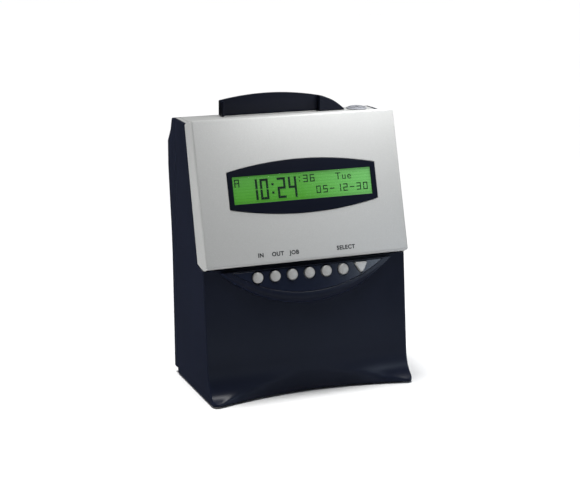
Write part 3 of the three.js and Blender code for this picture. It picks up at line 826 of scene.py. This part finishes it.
def make_round_key(node):
    """A round cap with a slightly domed crown and a rounded edge, over a flange and a stem."""
    crown_radius = KEY_RADIUS - KEY_EDGE_ROUND
    shoulder = KEY_FRONT + KEY_DOME
    crown = [(crown_radius * i / 8, KEY_FRONT + KEY_DOME * (i / 8) ** 2) for i in range(9)]
    angles = [math.radians(15 * i) for i in range(1, 7)]
    edge = [(crown_radius + KEY_EDGE_ROUND * math.sin(a),
             shoulder + KEY_EDGE_ROUND * (1 - math.cos(a))) for a in angles]
    flange_back = KEY_FLANGE + KEY_FLANGE_THICK
    profile = [
        *crown, *edge, (KEY_RADIUS, KEY_FLANGE), (KEY_FLANGE_RADIUS, KEY_FLANGE),
        (KEY_FLANGE_RADIUS, flange_back), (KEY_STEM_RADIUS, flange_back),
        (KEY_STEM_RADIUS, KEY_STEM_END), (0, KEY_STEM_END)]
    cap = moved(turned(profile), Matrix.Translation((face_coords(node).x, 0, KEY_ROW)))
    return piece(f"{node}_cap", on_face(rounded(cap, 0.15, 2, 60)), KEY_SILVER, node,
                 [node])


def make_arrow_key():
    """An arrow-shaped cap over a skirt of its own outline and a round stem."""
    cap = rounded(prism(arrow_at(0), KEY_FRONT, KEY_FLANGE + 0.2, "Y"), 0.9, 4, 60)
    skirt = prism(arrow_at(0.9), KEY_FLANGE, KEY_FLANGE + KEY_FLANGE_THICK, "Y")
    stem = prism(circle(KEY_STEM_RADIUS, (face_coords(ARROW_KEY).x, KEY_ROW), 24),
                 KEY_FLANGE + 1, KEY_STEM_END, "Y")
    return piece("key_7_cap", on_face(joined(cap, skirt, stem)), KEY_SILVER, ARROW_KEY,
                 [ARROW_KEY])


# ---- Cover -----------------------------------------------------------------------------------

def face_point(y, z):
    """(V, U) of a point given as (Y, Z)."""
    point = FACE.inverted() @ Vector((0, y, z))
    return point.y, point.z


def cover_arms():
    """Arms that run back beside the deck."""
    inner = HALF_WIDTH - WALL - 4.2
    outer = HALF_WIDTH - WALL - GAP
    return [
        moved(block(x0, x1, 8, deck_high.y, DECK_TOP - WALL, DECK_TOP), FACE.inverted())
        for x0, x1 in ((-outer, -inner), (inner, outer))]


def make_cover():
    """The leaning face with its sides, a level return at its top and a shallow bottom edge."""
    shoulder_v = face_point(*SHOULDER)[0] - GAP
    back_v, back_u = face_point(*LEDGE_BACK)
    front_v, front_u = face_point(*LEDGE_FRONT)
    outline = [
        (0, 0), (0, FACE_LENGTH), (shoulder_v, FACE_LENGTH), (back_v - GAP, back_u + 0.4),
        (front_v, front_u + 0.4)]
    outside = rounded(prism(outline, -HALF_WIDTH, HALF_WIDTH, "X"), COVER_ROUND, 5, 12)
    inside_top = FACE_LENGTH - WALL
    inside_half = HALF_WIDTH - COVER_SIDE_WALL
    hollow = prism([
        (WALL, COVER_FLOOR), (WALL, inside_top), (40, inside_top), (40, -10), (5, -10),
        (5, COVER_FLOOR)], -inside_half, inside_half, "X")
    opening = prism(display_outline(GAP), -2, WALL + 2, "Y")
    shell = joined(cut(outside, hollow, opening), *cover_arms())
    return piece("front_cover", on_face(rounded(shell, 0.35, 3, 50)), SILVER, "cover",
                 ["cover_shell"])


def display_block(half_x, half_u, v0, v1):
    return block(DISPLAY_X - half_x, DISPLAY_X + half_x, v0, v1,
                 DISPLAY_U - half_u, DISPLAY_U + half_u)


def make_bezel():
    surround = prism(display_outline(0), -0.45, 1.4, "Y")
    opening = display_block(*WINDOW_HALF, -2, 4)
    return piece("display_surround", on_face(rounded(cut(surround, opening), 0.35, 3)), BEZEL,
                 "cover", ["display_bezel"])


def make_window():
    half_x, half_u = (size - GAP for size in WINDOW_HALF)
    pane = display_block(half_x, half_u, -0.1, 1.2)
    return piece("window_pane", on_face(rounded(pane, 0.2, 2)), CLEAR, "cover",
                 ["display_window"])


# ---- Display reading and labels ----------------------------------------------------------------

SEGMENTS = {
    "0": "abcdef", "1": "bc", "2": "abdeg", "3": "abcdg", "4": "bcfg", "5": "acdfg",
    "6": "acdefg", "7": "abc", "8": "abcdefg", "9": "abcdfg", "A": "abcefg", "-": "g"}


def segment_bars(character, x, u, width, height, stroke):
    """Outlines of the lit bars of a seven-segment character. (x, u) is its lower left corner."""
    mid = u + height / 2
    half = stroke / 2
    inset = 0.12 * stroke
    bars = {
        "a": (x, x + width, u + height - stroke, u + height),
        "b": (x + width - stroke, x + width, mid, u + height),
        "c": (x + width - stroke, x + width, u, mid),
        "d": (x, x + width, u, u + stroke),
        "e": (x, x + stroke, u, mid),
        "f": (x, x + stroke, mid, u + height),
        "g": (x, x + width, mid - half, mid + half)}
    lit = SEGMENTS[character]
    return [(x0 + inset, x1 - inset, u0 + inset, u1 - inset)
            for name, (x0, x1, u0, u1) in bars.items() if name in lit]


def reading_bars():
    """The display's reading: a letter, the time in tall digits, small seconds and a date."""
    bars = segment_bars("A", -59.6, 64.8, 4.6, 7, SMALL_DIGIT[2])
    for x, character in ((-47, "1"), (-37.4, "0"), (-22, "2"), (-12, "4")):
        bars += segment_bars(character, x, 53, *TALL_DIGIT)
    for u in (57.5, 64.5):
        bars.append((-26.8, -24.8, u, u + 2))
    for u in (66, 69):
        bars.append((-1.8, -0.7, u, u + 1.1))
    for i, character in enumerate("36"):
        bars += segment_bars(character, 2 + DIGIT_PITCH * i, 64.9, *SMALL_DIGIT)
    for i, character in enumerate("05-12-30"):
        bars += segment_bars(character, 13 + DIGIT_PITCH * i, 54.8, *SMALL_DIGIT)
    return bars


def text_mesh(words, size, x, u, v, depth, spacing=1.0, weight=0):
    """Words as a thin solid that faces out of the face, centred on (x, u)."""
    curve = bpy.data.curves.new("words", "FONT")
    curve.body = words
    curve.size = size
    curve.space_character = spacing
    curve.align_x = "CENTER"
    curve.extrude = depth / 2
    curve.offset = weight
    obj = bpy.data.objects.new("words", curve)
    bpy.context.scene.collection.objects.link(obj)
    graph = bpy.context.evaluated_depsgraph_get()
    mesh = bpy.data.meshes.new_from_object(obj.evaluated_get(graph))
    bpy.data.objects.remove(obj)
    upright = Matrix.Rotation(math.pi / 2, 4, "X")
    return moved(mesh, Matrix.Translation((x, v - depth / 2, u)) @ upright)


def make_reading():
    """The dark segments, a hair in front of the display's glass."""
    back = GLASS_FRONT - 0.02
    front = back - INK_THICK
    bars = [block(x0, x1, front, back, u0, u1) for x0, x1, u0, u1 in reading_bars()]
    day = text_mesh("Tue", 8.6, 39, 65.1, back, INK_THICK, 1.15)
    return piece("lcd_reading", on_face(merged([*bars, day])), DARK_CELL, "chassis")


def make_labels():
    """Generic words over some of the keys."""
    meshes = [text_mesh(text, LABEL_SIZE, x, LABEL_U, 0, INK_THICK, 1.1, LABEL_WEIGHT)
              for text, x in (("IN", -43.5), ("OUT", -28.3), ("JOB", -13.5), ("SELECT", 33.6))]
    return piece("key_labels", on_face(merged(meshes)), INK, "cover")


# ---- Deck, hood and lock -----------------------------------------------------------------------

def lock_hole(clearance):
    """Tool for a hole around the lock's barrel."""
    low, high = box_mm("lock_barrel")
    centre = (low + high) / 2
    radius = (high.x - low.x) / 2 + clearance
    return prism(circle(radius, (centre.x, centre.y)), *DECK_CUT, "Z")


def make_deck():
    plate = block(deck_low.x, deck_high.x, deck_low.y, deck_high.y, DECK_TOP - WALL, DECK_TOP)
    rails = [
        block(x, x + 2, 14, 43.5, deck_low.z, DECK_TOP - WALL + 0.2)
        for x in (deck_low.x, deck_high.x - 2)]
    slot = block(CARD_LEFT, CARD_RIGHT, SLOT_FRONT, SLOT_BACK, *DECK_CUT)
    deck = cut(joined(plate, *rails), slot, lock_hole(GAP))
    return piece("deck_plate", rounded(deck, 0.35, 3), SILVER, "chassis",
                 ["card_deck"])


def make_hood():
    """An arch over the card's recess that falls away in a rounded shoulder on the right."""
    base = hood_low.z
    left, right = hood_low.x, hood_high.x
    start = (left, HOOD_EAVES - 0.4)
    crown_end = (CARD_RIGHT, HOOD_EAVES - 0.2)
    outline = [
        (left, base), start,
        *quadratic(start, ((left + CARD_RIGHT) / 2, HOOD_EAVES + HOOD_BEND), crown_end, 48),
        *cubic(crown_end, *HOOD_SHOULDER, (right, base), 24)]
    outside = rounded(prism(outline, SLOT_FRONT, hood_high.y, "Y"), 0.8, 4, 40)
    recess = block(CARD_LEFT, CARD_RIGHT, SLOT_FRONT - 1, SLOT_BACK, base - 1, 260)
    return piece("hood_shell", rounded(cut(outside, recess), 0.3, 2, 55), BEZEL, "chassis",
                 ["card_hood"])


def make_lock():
    low, high = box_mm("lock_barrel")
    centre = (low + high) / 2
    radius = (high.x - low.x) / 2
    ring_low, ring_high = box_mm("lock_escutcheon")
    outer = (ring_high.x - ring_low.x) / 2
    height = ring_high.z - ring_low.z
    profile = [(0, 0), (outer, 0), (outer, height - 0.8), (outer - 0.8, height - 0.3),
               (outer - 1.6, height), (0, height)]
    ring = cut(lying(turned(profile), centre.x, centre.y, ring_low.z), lock_hole(0.4))
    piece("lock_ring", rounded(ring, 0.2, 2, 50), LOCK_STEEL, "chassis",
          ["lock_escutcheon"])
    slot = block(centre.x - 0.9, centre.x + 0.9, centre.y - 4, centre.y + 4, high.z - 5,
                 high.z + 1)
    barrel_body = cut(prism(circle(radius, (centre.x, centre.y)), low.z, high.z, "Z"), slot)
    piece("lock_plug", rounded(barrel_body, 0.4, 3, 50), LOCK_STEEL, "lock",
          ["lock_barrel"])


# ---- Inner parts -------------------------------------------------------------------------------

INNER_FINISHES = {
    "steel": (STEEL, 0.2, [
        "lcd_frame", "display_bracket", "cover_pin_left", "cover_pin_right", "lock_cam",
        "lock_striker", "chute_front", "chute_back", "mech_plate_left", "mech_plate_right",
        "mech_base", "guide_rod_lower", "guide_rod_upper", "print_head", "carriage_motor",
        "feed_motor", "backup_battery", "transformer_core"]),
    "black_plastic": (BLACK, 0.4, [
        "carriage", "ribbon_cartridge", "ribbon_strip", "ribbon_knob", "power_inlet"]),
    "brass": (BRASS, 0.15, ["drive_pulley", "idler_pulley", "feed_gear", "motor_pinion"]),
    "circuit_board": (BOARD, 0.2, ["key_board", "main_board", "power_board"]),
    "rubber": (RUBBER, 0.3, [
        "platen", "drive_belt", "feed_roller", "pinch_roller", "foot_1", "foot_2", "foot_3",
        "foot_4"]),
    "winding": (COPPER, 0.6, ["transformer_winding"]),
    "lcd": (CELL, 0.15, ["lcd_glass"]),
}


def broken_edges(node, width):
    """A CAD node's own shape with its sharp edges broken."""
    mesh = frame["nodes"][node].data.copy()
    mesh.transform(Matrix.Scale(1 / MM, 4))
    low, high = box_mm(node)
    thinnest = min(high - low)
    return rounded(mesh, min(width, 0.3 * thinnest), 2, 38)


def make_inner_parts():
    for slot, (material, width, nodes) in INNER_FINISHES.items():
        for node in nodes:
            body = frame["nodes"][node]["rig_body"]
            piece(f"{node}_fine", broken_edges(node, width), material, body, [node])


# ---- Stage, light and camera -------------------------------------------------------------------

def make_floor():
    bpy.ops.mesh.primitive_plane_add(size=30)
    floor = bpy.context.object
    floor.name = "floor"
    shader = Shader("floor", Specular_IOR_Level=0.1)
    shader.color(shader.blend(shader.between(shader.noise(3), 0, 1),
                              linear(250, 250, 250), linear(253, 253, 253)))
    shader.surface.inputs["Roughness"].default_value = 0.9
    floor.data.materials.append(shader.material)
    floor.visible_glossy = False


def area_light(name, place, target, size, watts, mirrored=True, color=(1, 1, 1)):
    """A soft box. One that isn't mirrored lights surfaces without showing in their gloss."""
    data = bpy.data.lights.new(name, "AREA")
    data.shape = "RECTANGLE"
    data.size, data.size_y = size
    data.energy = watts
    data.color = color
    light = bpy.data.objects.new(name, data)
    bpy.context.scene.collection.objects.link(light)
    light.location = place
    aim = Vector(target) - Vector(place)
    light.rotation_euler = aim.to_track_quat("-Z", "Y").to_euler()
    light.visible_camera = False
    light.visible_glossy = mirrored


def sun_light(direction, strength, spread):
    data = bpy.data.lights.new("sun", "SUN")
    data.energy = strength
    data.angle = math.radians(spread)
    light = bpy.data.objects.new("sun", data)
    bpy.context.scene.collection.objects.link(light)
    light.rotation_euler = Vector(direction).to_track_quat("-Z", "Y").to_euler()
    light.visible_glossy = False


def make_lights():
    """A high sun, a near overhead box, a fill from low on the left, and cards that show in the
    dark plastic's gloss.
    """
    sun_light((0.1, -0.14, -1), 3.35, 20)
    area_light("overhead", (0.1, -0.07, 0.33), (0.03, 0, 0.2), (0.26, 0.06), 0.46)
    area_light("low_left", (-0.585, 0.103, 0.067), (0, 0, 0.08), (0.3, 0.15), 1.6, mirrored=False)
    cards = {
        "right_card": ((0.2, -0.3, 0.19), (0.06, -0.035, 0.1), (0.05, 0.08), 0.045),
        "low_right": ((0.25, -0.07, 0.025), (0.06, -0.04, 0.1), (0.15, 0.04), 0.08),
        "low_front": ((0.03, -0.24, 0.02), (0, -0.05, 0.02), (0.3, 0.03), 0.013)}
    for name, (place, target, size, watts) in cards.items():
        area_light(name, place, target, size, watts, color=(0.72, 0.85, 1))


def make_world():
    """White to the camera and dim to the object, so its gloss has dark surroundings to show."""
    world = bpy.data.worlds.new("studio")
    world.use_nodes = True
    nodes = world.node_tree.nodes
    links = world.node_tree.links
    seen = nodes.new("ShaderNodeMix")
    seen.data_type = "RGBA"
    seen.inputs[6].default_value = (0.03, 0.03, 0.03, 1)
    seen.inputs[7].default_value = (1, 1, 1, 1)
    links.new(nodes.new("ShaderNodeLightPath").outputs["Is Camera Ray"], seen.inputs["Factor"])
    links.new(seen.outputs[2], nodes["Background"].inputs["Color"])
    bpy.context.scene.world = world


def make_camera():
    pan, tilt, roll = (math.radians(angle) for angle in (22.22, -14.79, 0.3))
    forward = Vector((math.sin(pan) * math.cos(tilt), math.cos(pan) * math.cos(tilt),
                      math.sin(tilt)))
    level = forward.cross(Vector((0, 0, 1))).normalized()
    rise = level.cross(forward)
    right = math.cos(roll) * level + math.sin(roll) * rise
    up = right.cross(forward)
    data = bpy.data.cameras.new("camera")
    data.lens = 92.3
    data.clip_start = 0.05
    camera = bpy.data.objects.new("camera", data)
    bpy.context.scene.collection.objects.link(camera)
    turn = Matrix((right, up, -forward)).transposed().to_4x4()
    camera.matrix_world = Matrix.Translation((-0.4707, -1.1489, 0.4415)) @ turn
    bpy.context.scene.camera = camera


# ---- Assembly ----------------------------------------------------------------------------------

make_camera()
make_floor()
make_lights()
make_world()
make_case()
make_rear_cover()
make_base()
make_key_plate()
for key in ROUND_KEYS:
    make_round_key(key)
make_arrow_key()
make_cover()
make_bezel()
make_window()
make_reading()
make_labels()
make_deck()
make_hood()
make_lock()
make_inner_parts()

bpy.context.scene.view_settings.view_transform = "Standard"
